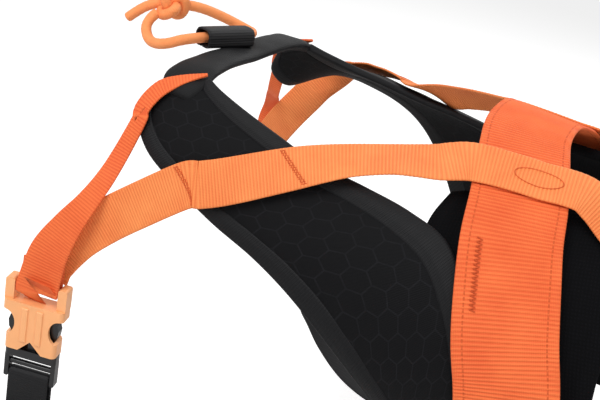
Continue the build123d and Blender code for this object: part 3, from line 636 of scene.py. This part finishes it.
class HARNESS_OT_withers_band(bpy.types.Operator):
    """Wide ribbed webbing over the withers with twisted selvedges and two sunken rows of stitches"""
    bl_idname = "harness.withers_band"
    bl_label = "Withers band"

    def execute(self, context):
        sizes = context.scene.harness_sizes
        rows = evened(band_rows(), 0.4)
        mesh = webbing_mesh("wide_webbing", rows, sizes.band_thickness / MM, sizes.rib_pitch / MM, 0.2,
                            0.22, 0.28, columns=21)
        add_piece(mesh, finishes()["wide orange webbing"], HARNESS, "orange_webbing", "withers_band")
        far = travelled(rows[:, :3])[-1]
        thick = sizes.band_thickness / MM + 0.3
        marks = []
        for hand in (-1, 1):
            middle = far / 2
            marks.append((thick, zigzag((middle + hand * 112, 16), (middle + hand * 150, 17), 34, 1.6)))
        thread = stitch_mesh("band_bar_tacks", rows, marks, 0.4)
        add_piece(thread, finishes()["sewing thread"], HARNESS, "orange_webbing")
        return {"FINISHED"}


# ------------------------------------------------------------------ panels, bindings, pads, chest plate
CHEST_EDGE = 180.0 - math.degrees(math.asin(52.0 / 128.0))
PANEL_END = CHEST_EDGE - math.degrees(0.7 / 128.0)
PANEL_INNER = [(-184, -44), (-172, -46), (-152, -48), (-126, -50), (-97, -52), (-66, -52), (-36, -53),
               (-10, -57), (10, -70), (24, -88), (36, -106), (46, -124), (54, -PANEL_END)]
PANEL_OUTER = [(-213, -58), (-219, -71), (-206, -80), (-180, -84), (-148, -87), (-114, -89), (-84, -94),
               (-55, -103), (-30, -114), (-13, -125), (0, -136), (10, -146), (18, -PANEL_END)]
FLAT = [0] * len(PANEL_INNER)
LEFT_TILT = [0, 0, 6, 32, 39, 35, 24, 9, 0, 0, 0, 0, 0]
PANEL_LIFT, PANEL_THICKNESS = -4.2, 6.0
PANEL_TOP = PANEL_LIFT + PANEL_THICKNESS / 2
BINDING_SHARE, TUCK = 0.17, 0.015
PAD_LIFT, PAD_THICKNESS = -11.4, 7.0
PAD_REAR = [(-22, -40), (-27, -52), (-25, -66), (-18, -82), (-8, -100), (2, -118), (10, -138)]
PAD_FRONT = [(64, -18), (86, -33), (84, -52), (84, -72), (88, -94), (92, -116), (96, -138)]


def quilted(s, w):
    """Slight uneven filling: slow waves along and across, 0.35 mm high."""
    return -0.35 + 0.2 * np.sin(s / 11.0 + 3 * w) + 0.15 * np.sin(s / 4.7 - 5 * w)


def piped(s, w):
    """Pad face with a piped ridge inside each edge and a shallow channel between, 0.9 mm high."""
    ridge = np.exp(-((np.abs(2 * w - 1) - 0.86) / 0.05) ** 2)
    return 0.5 * ridge - 0.7 * np.exp(-((np.abs(2 * w - 1) - 0.72) / 0.06) ** 2) + 0.2 * np.sin(s / 9.0)


def taped(s, w):
    """Binding tape: a soft crown with a pressed seam line a fifth in from each edge."""
    return (0.3 * np.sin(math.pi * w) - 0.45 * np.exp(-((w - 0.8) / 0.05) ** 2)
            - 0.45 * np.exp(-((w - 0.2) / 0.05) ** 2))


class HARNESS_OT_panels(bpy.types.Operator):
    """Padded ripstop side panels with ribbed binding tape along both long edges"""
    bl_idname = "harness.panels"
    bl_label = "Side panels"

    def execute(self, context):
        cloths = finishes()
        edges = (PANEL_INNER, PANEL_OUTER)
        for side, flip, tilts in (("right", 1, FLAT), ("left", -1, LEFT_TILT)):
            core = padded_mesh(f"ripstop_panel_{side}", edges, (BINDING_SHARE - TUCK, 1 - BINDING_SHARE + TUCK),
                               PANEL_LIFT, PANEL_THICKNESS, quilted, tilts, (240, 33), 5.0, flip)
            piece = add_piece(core, cloths["hexagon ripstop"], HARNESS, "ripstop", f"side_panel_{side}")
            tapes = [padded_mesh("tape", edges, share, PANEL_LIFT, PANEL_THICKNESS, taped, tilts, (240, 17),
                                 3.5, flip)
                     for share in ((0.0, BINDING_SHARE + TUCK), (1 - BINDING_SHARE - TUCK, 1.0))]
            add_piece(joined(f"edge_binding_{side}", tapes), cloths["grosgrain binding"], HARNESS,
                      "grosgrain", f"panel_binding_{side}")
        return {"FINISHED"}


class HARNESS_OT_pads(bpy.types.Operator):
    """Soft pads between the band and the shoulders, and the plate under the chest"""
    bl_idname = "harness.pads"
    bl_label = "Shoulder pads and chest plate"

    def execute(self, context):
        cloths = finishes()
        for side, flip in (("right", 1), ("left", -1)):
            pad = padded_mesh(f"soft_pad_{side}", (PAD_REAR, PAD_FRONT), (0.0, 1.0), PAD_LIFT, PAD_THICKNESS,
                              piped, None, (160, 45), 4.0, flip)
            add_piece(pad, cloths["padded mesh"], HARNESS, "padding", f"shoulder_pad_{side}")
        angles = np.linspace(CHEST_EDGE, 360.0 - CHEST_EDGE, 7)
        edges = ([(16.0, a) for a in angles], [(108.0, a) for a in angles])
        plate = padded_mesh("chest_pad", edges, (0.0, 1.0), PANEL_LIFT, PANEL_THICKNESS, piped, None,
                            (120, 41), 5.0)
        add_piece(plate, cloths["hexagon ripstop"], HARNESS, "ripstop", "chest_plate")
        return {"FINISHED"}


# ------------------------------------------------------------------ straps
STRAP_WIDTH, STRAP_THICKNESS = 28.0, 1.6
STRAP_LIFT = 2.8
EDGE_STRIP_WIDTH, EDGE_EXTRA, WING_EXTRA = 11.0, 0.9, 2.6
YOKE_THICKNESS = 7.6
ON_PANEL = PANEL_TOP + 0.7 + STRAP_THICKNESS / 2
RIGHT_SEAT = (np.array([-247.0, -135.0, -184.0]), 0.0)
LEFT_SEAT = (np.array([-215.0, -148.0, -168.0]), math.radians(35.0))
YAW = math.radians(14.0)
ACROSS = np.array([math.cos(YAW), math.sin(YAW), 0.0])
INWARD = np.array([-math.sin(YAW), math.cos(YAW), 0.0])
BAR_Z, LADDER_Z = 21.0, -46.0
LOOP = 2.3 + 0.4 + STRAP_THICKNESS / 2
LOWER_LOOP = 2.0 + 0.6 + STRAP_THICKNESS / 2
STRIP_SEWN = [(0.05, 0.02), (0.05, 0.45), (0.2, 0.8), (0.75, 0.9), (1.2, 0.93)]
RIGHT_FREE = [((-220, -103, -69), (0.1, -0.9, 0.3), 11), ((-222, -115, -85), (0.2, -0.95, 0.2), 12),
              ((-227, -124, -100), (0.25, -0.95, 0.1), 14), ((-234, -131, -116), (0.25, -0.95, 0.1), 19),
              ((-242, -136, -137), (0.24, -0.97, 0.05), 25)]
LEFT_FREE = [((-221, -109, -70), (0.1, -0.9, 0.4), 11), ((-230, -130, -82), (0.0, -0.85, 0.5), 12),
             ((-238, -149, -98), (0.0, -0.9, 0.4), 14), ((-241, -154, -114), (0.1, -0.95, 0.1), 19),
             ((-238, -155, -128), (0.24, -0.97, 0.0), 25)]
FLANK_BACK = [(-168, -80.5, ON_PANEL + 3.6, 0), (-147, -73, ON_PANEL + 1.6, 0),
              (-124, -64, ON_PANEL + 0.8, 4), (-104, -56.5, ON_PANEL + 1.2, 9), (-80, -48.5, 2.2, 20),
              (-55, -42, 2.6, 20), (-33, -37.5, 2.8, 8)]
LEFT_MIDDLE = [(-80, -48.5, 2.6, 0), (-55, -42, 2.6, 0), (-33, -37.5, 2.8, 0)]
FLANK_FRONT = [(-18, -33.5, STRAP_LIFT, 0), (2, -31.5, STRAP_LIFT, 0), (22, -30.5, STRAP_LIFT, 0),
               (44, -29.5, STRAP_LIFT, 0), (62, -32, -3.6, 0), (76, -36, -6.6, 0)]
WING_CROSSING = [(3.05, 0.86), (3.4, 0.65), (3.75, 0.38), (4.0, 0.13)]
RIGHT_RISE = [((-232, -121.5, -128), (0.1, -0.99, 0.1)), ((-217, -117, -112), (0.1, -0.99, 0.1)),
              ((-199, -115.5, -96), (0.0, -0.99, 0.15))]
LEFT_RISE = [((-229, -140, -120), (0.1, -0.99, 0.1)), ((-216, -132, -98), (0.1, -0.99, 0.1)),
             ((-203, -137, -76), (0.2, -0.95, 0.2)), ((-191, -144, -57), (0.3, -0.9, 0.4))]
RIGHT_BELLY = [((-243, -133, -289), (0.1, -0.8, -0.6)), ((-224, -118, -305), (0.1, -0.3, -0.95)),
               ((-192, -99, -313), (0, -0.12, -0.99)), ((-152, -80, -309), (0.1, -0.1, -0.99)),
               ((-112, -62, -295), (0.25, -0.1, -0.97)), ((-70, -46, -276), (0.35, -0.1, -0.93)),
               ((-30, -33, -254), (0.45, -0.1, -0.88)), ((2, -26, -235), (0.3, -0.1, -0.95))]
LEFT_BELLY = [((-146, -129, -260), (-0.5, -0.6, -0.6)), ((-124, -115, -272), (-0.2, -0.4, -0.9)),
              ((-94, -95, -278), (0, -0.25, -0.97)), ((-60, -72, -272), (0.2, -0.15, -0.97)),
              ((-28, -48, -255), (0.35, -0.1, -0.93)), ((2, -26, -235), (0.3, -0.1, -0.95))]


def up_of(seat):
    return UP * math.cos(seat[1]) - ACROSS * math.sin(seat[1])


def in_buckle(seat, x, y, z):
    """World place of a point in the frame of the buckle at that seat."""
    across = ACROSS * math.cos(seat[1]) + UP * math.sin(seat[1])
    return seat[0] + across * x + INWARD * y + up_of(seat) * z


def loop_rows(seat, z, radius, turned):
    """Half a turn round a bar of the buckle, from the outer face down into the slot."""
    a = np.radians(np.linspace(0.0, 180.0, 6))[:, None]
    normal = -INWARD * np.cos(a) - up_of(seat) * np.sin(a)
    point = in_buckle(seat, 0.0, 0.0, z) + normal * radius
    flat = np.ones((6, 1))
    return np.hstack([point, normal * turned, flat * 0.0, flat * STRAP_WIDTH])


def sewn_rows(stations, tilts, width, extra):
    """Edge strip on the panel's face: its place at a station and share, its normal from neighbours."""
    inner, outer = curved(PANEL_INNER, 3), curved(PANEL_OUTER, 3)
    lean = np.maximum(curved([[tilt] for tilt in tilts], 3), 0.0)
    numbers = np.arange(len(inner)) / 3
    fine = curved(stations, 18)

    def surface(station, share):
        first = np.stack([np.interp(station, numbers, inner[:, k]) for k in (0, 1)], axis=1)
        second = np.stack([np.interp(station, numbers, outer[:, k]) for k in (0, 1)], axis=1)
        tilt = np.interp(station, numbers, lean[:, 0])[:, None]
        lift = np.full((len(station), 1), PANEL_TOP)
        place, face = sheet_surface(first, second, share[:, None], tilt, lift)
        return place[:, 0], face[:, 0]

    point, face = surface(fine[:, 0], fine[:, 1])
    along = surface(fine[:, 0] + 0.1, fine[:, 1])[0] - point
    across = surface(fine[:, 0], fine[:, 1] + 0.05)[0] - point
    normal = unit(np.cross(along, across))
    normal = normal * np.sign(np.sum(normal * face, axis=1, keepdims=True))
    point = point + normal * (ON_PANEL - PANEL_TOP + extra)
    flat = np.ones((len(point), 1))
    return np.hstack([point, normal, flat * 0.0, flat * width])[::6]


def edge_strip_rows(seat, tilts, free):
    tail = free_rows([(in_buckle(seat, 0.0, LOOP + 0.3, BAR_Z + 9), INWARD, STRAP_WIDTH),
                      (in_buckle(seat, 0.0, LOOP + 0.6, BAR_Z + 17), INWARD, STRAP_WIDTH)])
    sewn = sewn_rows(STRIP_SEWN, tilts, EDGE_STRIP_WIDTH, EDGE_EXTRA)
    sewn[:, 7] *= np.clip(np.linspace(0.15, 2.0, len(sewn)), 0.0, 1.0)
    rows = np.vstack([sewn, free_rows(free), loop_rows(seat, BAR_Z, LOOP, 1.0), tail])
    return evened(curved(rows, 12), 0.5)


def flank_rows(seat, rise, crossing, rows):
    behind = LOOP + 0.6 + STRAP_THICKNESS + 0.7
    start = [(in_buckle(seat, 2.0, behind, BAR_Z + 6), -INWARD),
             (in_buckle(seat, 5.0, behind + 1.0, BAR_Z + 16), -INWARD)] + rise
    start = free_rows([(point, normal, STRAP_WIDTH) for point, normal in start])
    rest = on_body([(*row, STRAP_WIDTH) for row in rows + FLANK_FRONT], 2)
    return evened(curved(np.vstack([start] + crossing + [rest]), 12), 0.4)


def belly_rows(seat, rest):
    upper = free_rows([(in_buckle(seat, 0.0, LOWER_LOOP + 0.4, LADDER_Z - 19), INWARD, STRAP_WIDTH),
                       (in_buckle(seat, 0.0, LOWER_LOOP + 0.2, LADDER_Z - 9), INWARD, STRAP_WIDTH)])
    loop = loop_rows(seat, LADDER_Z, -LOWER_LOOP, -1.0)
    down = free_rows([(in_buckle(seat, 0.0, -LOWER_LOOP, LADDER_Z - z), -INWARD, STRAP_WIDTH)
                      for z in (9, 19, 29, 39, 49)])
    rest = free_rows([(point, normal, STRAP_WIDTH) for point, normal in rest])
    landed = on_body([(x, -168.5, ON_PANEL + 0.4, 0, STRAP_WIDTH) for x in (18, 24, 30)], 1)
    return evened(curved(np.vstack([upper, loop, down, rest, landed]), 10), 1.0)


class HARNESS_OT_straps(bpy.types.Operator):
    """Flank straps, rear edge strips and belly straps of both sides"""
    bl_idname = "harness.straps"
    bl_label = "Straps"

    def execute(self, context):
        sizes = context.scene.harness_sizes
        cloths = finishes()
        thick = sizes.strap_thickness / MM
        rib = sizes.strap_rib_pitch / MM
        crossing = sewn_rows(WING_CROSSING, LEFT_TILT, STRAP_WIDTH, WING_EXTRA)
        sides = (("right", np.array, RIGHT_SEAT, FLAT, RIGHT_FREE, RIGHT_BELLY,
                  flank_rows(RIGHT_SEAT, RIGHT_RISE, [], FLANK_BACK)),
                 ("left", mirrored, LEFT_SEAT, LEFT_TILT, LEFT_FREE, LEFT_BELLY,
                  flank_rows(LEFT_SEAT, LEFT_RISE, [crossing], LEFT_MIDDLE)))
        for side, turned, seat, tilts, free, belly, flank in sides:
            flank = turned(flank)
            mesh = webbing_mesh(f"flank_webbing_{side}", flank, thick, rib, 0.13, 0.16)
            add_piece(mesh, cloths["orange webbing"], HARNESS, "orange_webbing", f"flank_strap_{side}")
            marks = [(thick, zigzag((at - slant, 12.4), (at + slant, -12.4), 30, 0.5))
                     for at, slant in ((122, 4.0), (123.6, 4.0), (189, 6.0), (190.6, 6.0))]
            f = np.linspace(0.0, 2 * math.pi, 60)
            marks.append((thick, np.stack([326 + 13.5 * np.cos(f), 6 * np.sin(f)], axis=1)))
            add_piece(stitch_mesh(f"flank_stitches_{side}", flank, marks, 0.3), cloths["strap thread"],
                      HARNESS, "orange_webbing")
            strip = turned(edge_strip_rows(seat, tilts, free))
            mesh = webbing_mesh(f"edge_strip_{side}", strip, thick, rib, 0.06, 0.12, columns=15)
            add_piece(mesh, cloths["folded orange webbing in painted shade"], HARNESS, "orange_webbing", f"rear_strip_{side}")
            mesh = webbing_mesh(f"belly_webbing_{side}", turned(belly_rows(seat, belly)), thick,
                                selvedge=0.12, columns=15)
            add_piece(mesh, cloths["black webbing"], HARNESS, "black_webbing", f"belly_strap_{side}")
        return {"FINISHED"}


# ------------------------------------------------------------------ yoke and tunnel
def sleeve_mesh(name, rows, thickness):
    """Stuffed sleeve: half height = T/2 (1 - v^4)^(1/2) + gathers, deeper near the tunnel seam."""
    centre, face, across, half, far = strap_frames(rows)
    v = np.sin(np.linspace(-math.pi / 2, math.pi / 2, 25))
    v = np.concatenate([v, v[-2:0:-1]])[None, :]
    under = np.where(np.arange(48) < 25, 1.0, -1.0)[None, :]
    s = far[:, None]
    end = np.sqrt(1.0 - (1.0 - np.clip(np.minimum(s, far[-1] - s) / 4.0, 0.05, 1.0)) ** 2)
    middle = np.exp(-((s - far[-1] / 2) / 30.0) ** 2)
    folds = 0.25 * np.sin(s / 3.2 + 2.5 * v) * middle + 0.12 * np.sin(s / 7.0 - 3 * v)
    lumps = 0.5 * np.exp(-((s - far[-1] * 0.62) / 6.0) ** 2 - (v - 0.1) ** 2 / 0.3)
    filled = (thickness / 2) * np.sqrt(1.0 - v ** 4) + (folds + lumps) * (1 - v ** 2) * (under > 0)
    height = under * end * filled
    rings = centre[:, None] + across[:, None] * (v * half)[..., None] + face[:, None] * height[..., None]
    mapping = np.stack([np.broadcast_to(s, height.shape), v * half], axis=-1) * MM
    return closed_mesh(name, rings, mapping)


class HARNESS_OT_yoke(bpy.types.Operator):
    """Stretch sleeve that joins the panels' rear tips, and the folded webbing tunnel sewn on it"""
    bl_idname = "harness.yoke"
    bl_label = "Rear yoke and tunnel"

    def execute(self, context):
        cloths = finishes()
        rows = [(-199, -57, -3.4, 22), (-198, -50, -3.0, 30), (-197.5, -43, -7.0, 28),
                (-197.5, -32, -17.0, 24), (-197.5, -16, -27.0, 22), (-198, 0, -31.0, 22)]
        rows = rows + [(x, -a, lift, width) for x, a, lift, width in rows[-2::-1]]
        rows = on_body([(x, a, lift, 0, width) for x, a, lift, width in rows], 24)
        sleeve = sleeve_mesh("stretch_yoke", evened(rows, 0.9), YOKE_THICKNESS)
        add_piece(sleeve, cloths["stretch sleeve"], HARNESS, "stretch_fabric", "rear_yoke")
        outline = [(1.0, -5.4), (4.5, -5.5), (6.9, -4.2), (7.0, -1.0), (6.7, 2.2), (5.0, 4.8), (1.8, 5.5),
                   (-1.8, 5.5), (-5.0, 4.8), (-6.7, 2.2), (-7.0, -1.0), (-6.9, -4.2), (-4.5, -5.5), (-1.0, -5.4)]
        level = np.array([TUNNEL_AXIS[1], -TUNNEL_AXIS[0], 0.0])
        rows = np.array([[*(TUNNEL + level * q + UP * z), *(level * q + UP * z), 0.0, 40.0]
                         for q, z in outline])
        mesh = webbing_mesh("cord_tunnel", evened(curved(rows, 10), 0.6), 1.7, selvedge=0.15)
        add_piece(mesh, cloths["black webbing"], HARNESS, "black_webbing", "tow_tunnel")
        return {"FINISHED"}


class HARNESS_OT_hardware(bpy.types.Operator):
    """Moulded finishes on the buckles, their latch arms and the sliders"""
    bl_idname = "harness.hardware"
    bl_label = "Buckles and sliders"

    def execute(self, context):
        cloths = finishes()
        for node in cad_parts:
            if node.startswith(("buckle_", "latch_arm_", "webbing_slider_")):
                part = bpy.data.objects[node]
                orange = node.startswith("buckle_socket")
                for place in part.material_slots:
                    place.material = cloths["orange acetal" if orange else "black acetal"]
        return {"FINISHED"}


# ------------------------------------------------------------------ studio
AMBIENT = 0.48                  # sky's strength on cloth; seen straight or in a reflection it is white
LIT_POINT = np.array([-0.08, -0.05, -0.12])
LAMPS = (("key", (-0.55, -1.0, 1.25), 1.0, 19.5), ("fill", (1.2, -0.9, 0.5), 1.2, 6.0),
         ("back", (0.2, 1.3, 1.1), 1.2, 10.0))
CAMERA_PLACE = (0.0744, -0.5669, 0.1492)
CAMERA_ANGLES = (20.55, 22.72, 12.15)      # azimuth, elevation and roll, in degrees


def stage_material(name):
    """Matt painted floor that reads as white to the camera and still takes the shadow."""
    made = bpy.data.materials.new(name)
    made.use_nodes = True
    tree = made.node_tree
    tree.nodes.clear()
    matt = add_node(tree, "ShaderNodeBsdfDiffuse", {"Color": (0.8, 0.8, 0.8, 1.0)})
    glow = add_node(tree, "ShaderNodeEmission", {"Color": (1.0, 1.0, 1.0, 1.0), "Strength": 0.45})
    both = add_node(tree, "ShaderNodeAddShader", [matt, glow])
    rays = add_node(tree, "ShaderNodeLightPath")
    seen = add_node(tree, "ShaderNodeMixShader", [rays.outputs["Is Camera Ray"], matt, both])
    add_node(tree, "ShaderNodeOutputMaterial", [seen])
    return made


class HARNESS_OT_stage(bpy.types.Operator):
    """Pale floor, soft light and the camera"""
    bl_idname = "harness.stage"
    bl_label = "Studio"

    def execute(self, context):
        scene = context.scene
        floor = bpy.data.meshes.new("floor")
        low = CAD_BOX[0][2] - 0.012
        floor.from_pydata([(-6, -6, low), (6, -6, low), (6, 6, low), (-6, 6, low)], [], [(0, 1, 2, 3)])
        floor.materials.append(stage_material("studio floor"))
        piece = bpy.data.objects.new("floor", floor)
        scene.collection.objects.link(piece)
        world = bpy.data.worlds.new("studio")
        scene.world = world
        world.use_nodes = True
        tree = world.node_tree
        tree.nodes.clear()
        rays = add_node(tree, "ShaderNodeLightPath")
        shown = rays.outputs["Is Camera Ray"]
        for kind in ("Is Glossy Ray", "Is Transmission Ray"):
            shown = add_node(tree, MATH, [shown, rays.outputs[kind]], operation="MAXIMUM")
        strength = add_node(tree, MATH, [shown, 1.0 - AMBIENT, AMBIENT], operation="MULTIPLY_ADD")
        sky = add_node(tree, "ShaderNodeBackground", {"Color": (1.0, 1.0, 1.0, 1.0), "Strength": strength})
        add_node(tree, "ShaderNodeOutputWorld", [sky])
        for name, place, size, power in LAMPS:
            data = bpy.data.lights.new(name, "AREA")
            data.size = size
            data.energy = power
            lamp = bpy.data.objects.new(name, data)
            away = unit(np.array(place) - LIT_POINT)
            side = unit(np.cross(UP, away))
            turn = np.column_stack([side, np.cross(away, side), away])
            lamp.matrix_world = Matrix.Translation(place) @ Matrix(turn.tolist()).to_4x4()
            scene.collection.objects.link(lamp)
        camera = bpy.data.objects.new("camera", bpy.data.cameras.new("camera"))
        az, el, roll = (math.radians(value) for value in CAMERA_ANGLES)
        back = np.array([math.sin(az) * math.cos(el), -math.cos(az) * math.cos(el), math.sin(el)])
        level = unit(np.cross(UP, back))
        up = np.cross(back, level)
        right = level * math.cos(roll) + up * math.sin(roll)
        up = np.cross(back, right)
        camera.matrix_world = (Matrix.Translation(CAMERA_PLACE)
                               @ Matrix(np.column_stack([right, up, back]).tolist()).to_4x4())
        camera.data.lens = 56.8
        camera.data.sensor_width = 36.0
        camera.data.clip_start = 0.01
        scene.collection.objects.link(camera)
        scene.camera = camera
        scene.view_settings.view_transform = "Standard"
        return {"FINISHED"}


class HARNESS_PT_panel(bpy.types.Panel):
    bl_idname = "HARNESS_PT_panel"
    bl_label = "Pulling harness"
    bl_space_type = "VIEW_3D"
    bl_region_type = "UI"
    bl_category = "Harness"

    def draw(self, context):
        for group in (context.scene.harness_sizes, context.scene.harness_colours):
            for key in group.bl_rna.properties.keys()[2:]:
                self.layout.prop(group, key)
        for operator in OPERATORS:
            self.layout.operator(operator.bl_idname)


OPERATORS = (HARNESS_OT_stage, HARNESS_OT_tow_cord, HARNESS_OT_withers_band, HARNESS_OT_panels,
             HARNESS_OT_pads, HARNESS_OT_straps, HARNESS_OT_yoke, HARNESS_OT_hardware)
CLASSES = (HarnessSizes, HarnessColours, HARNESS_PT_panel) + OPERATORS


def register():
    for each in CLASSES:
        bpy.utils.register_class(each)
    bpy.types.Scene.harness_sizes = bpy.props.PointerProperty(type=HarnessSizes)
    bpy.types.Scene.harness_colours = bpy.props.PointerProperty(type=HarnessColours)


def unregister():
    del bpy.types.Scene.harness_sizes
    del bpy.types.Scene.harness_colours
    for each in reversed(CLASSES):
        bpy.utils.unregister_class(each)


def main():
    register()
    bpy.ops.harness.stage()
    bpy.ops.harness.tow_cord()
    bpy.ops.harness.withers_band()
    bpy.ops.harness.panels()
    bpy.ops.harness.pads()
    bpy.ops.harness.straps()
    bpy.ops.harness.yoke()
    bpy.ops.harness.hardware()


if __name__ == "__main__":
    main()
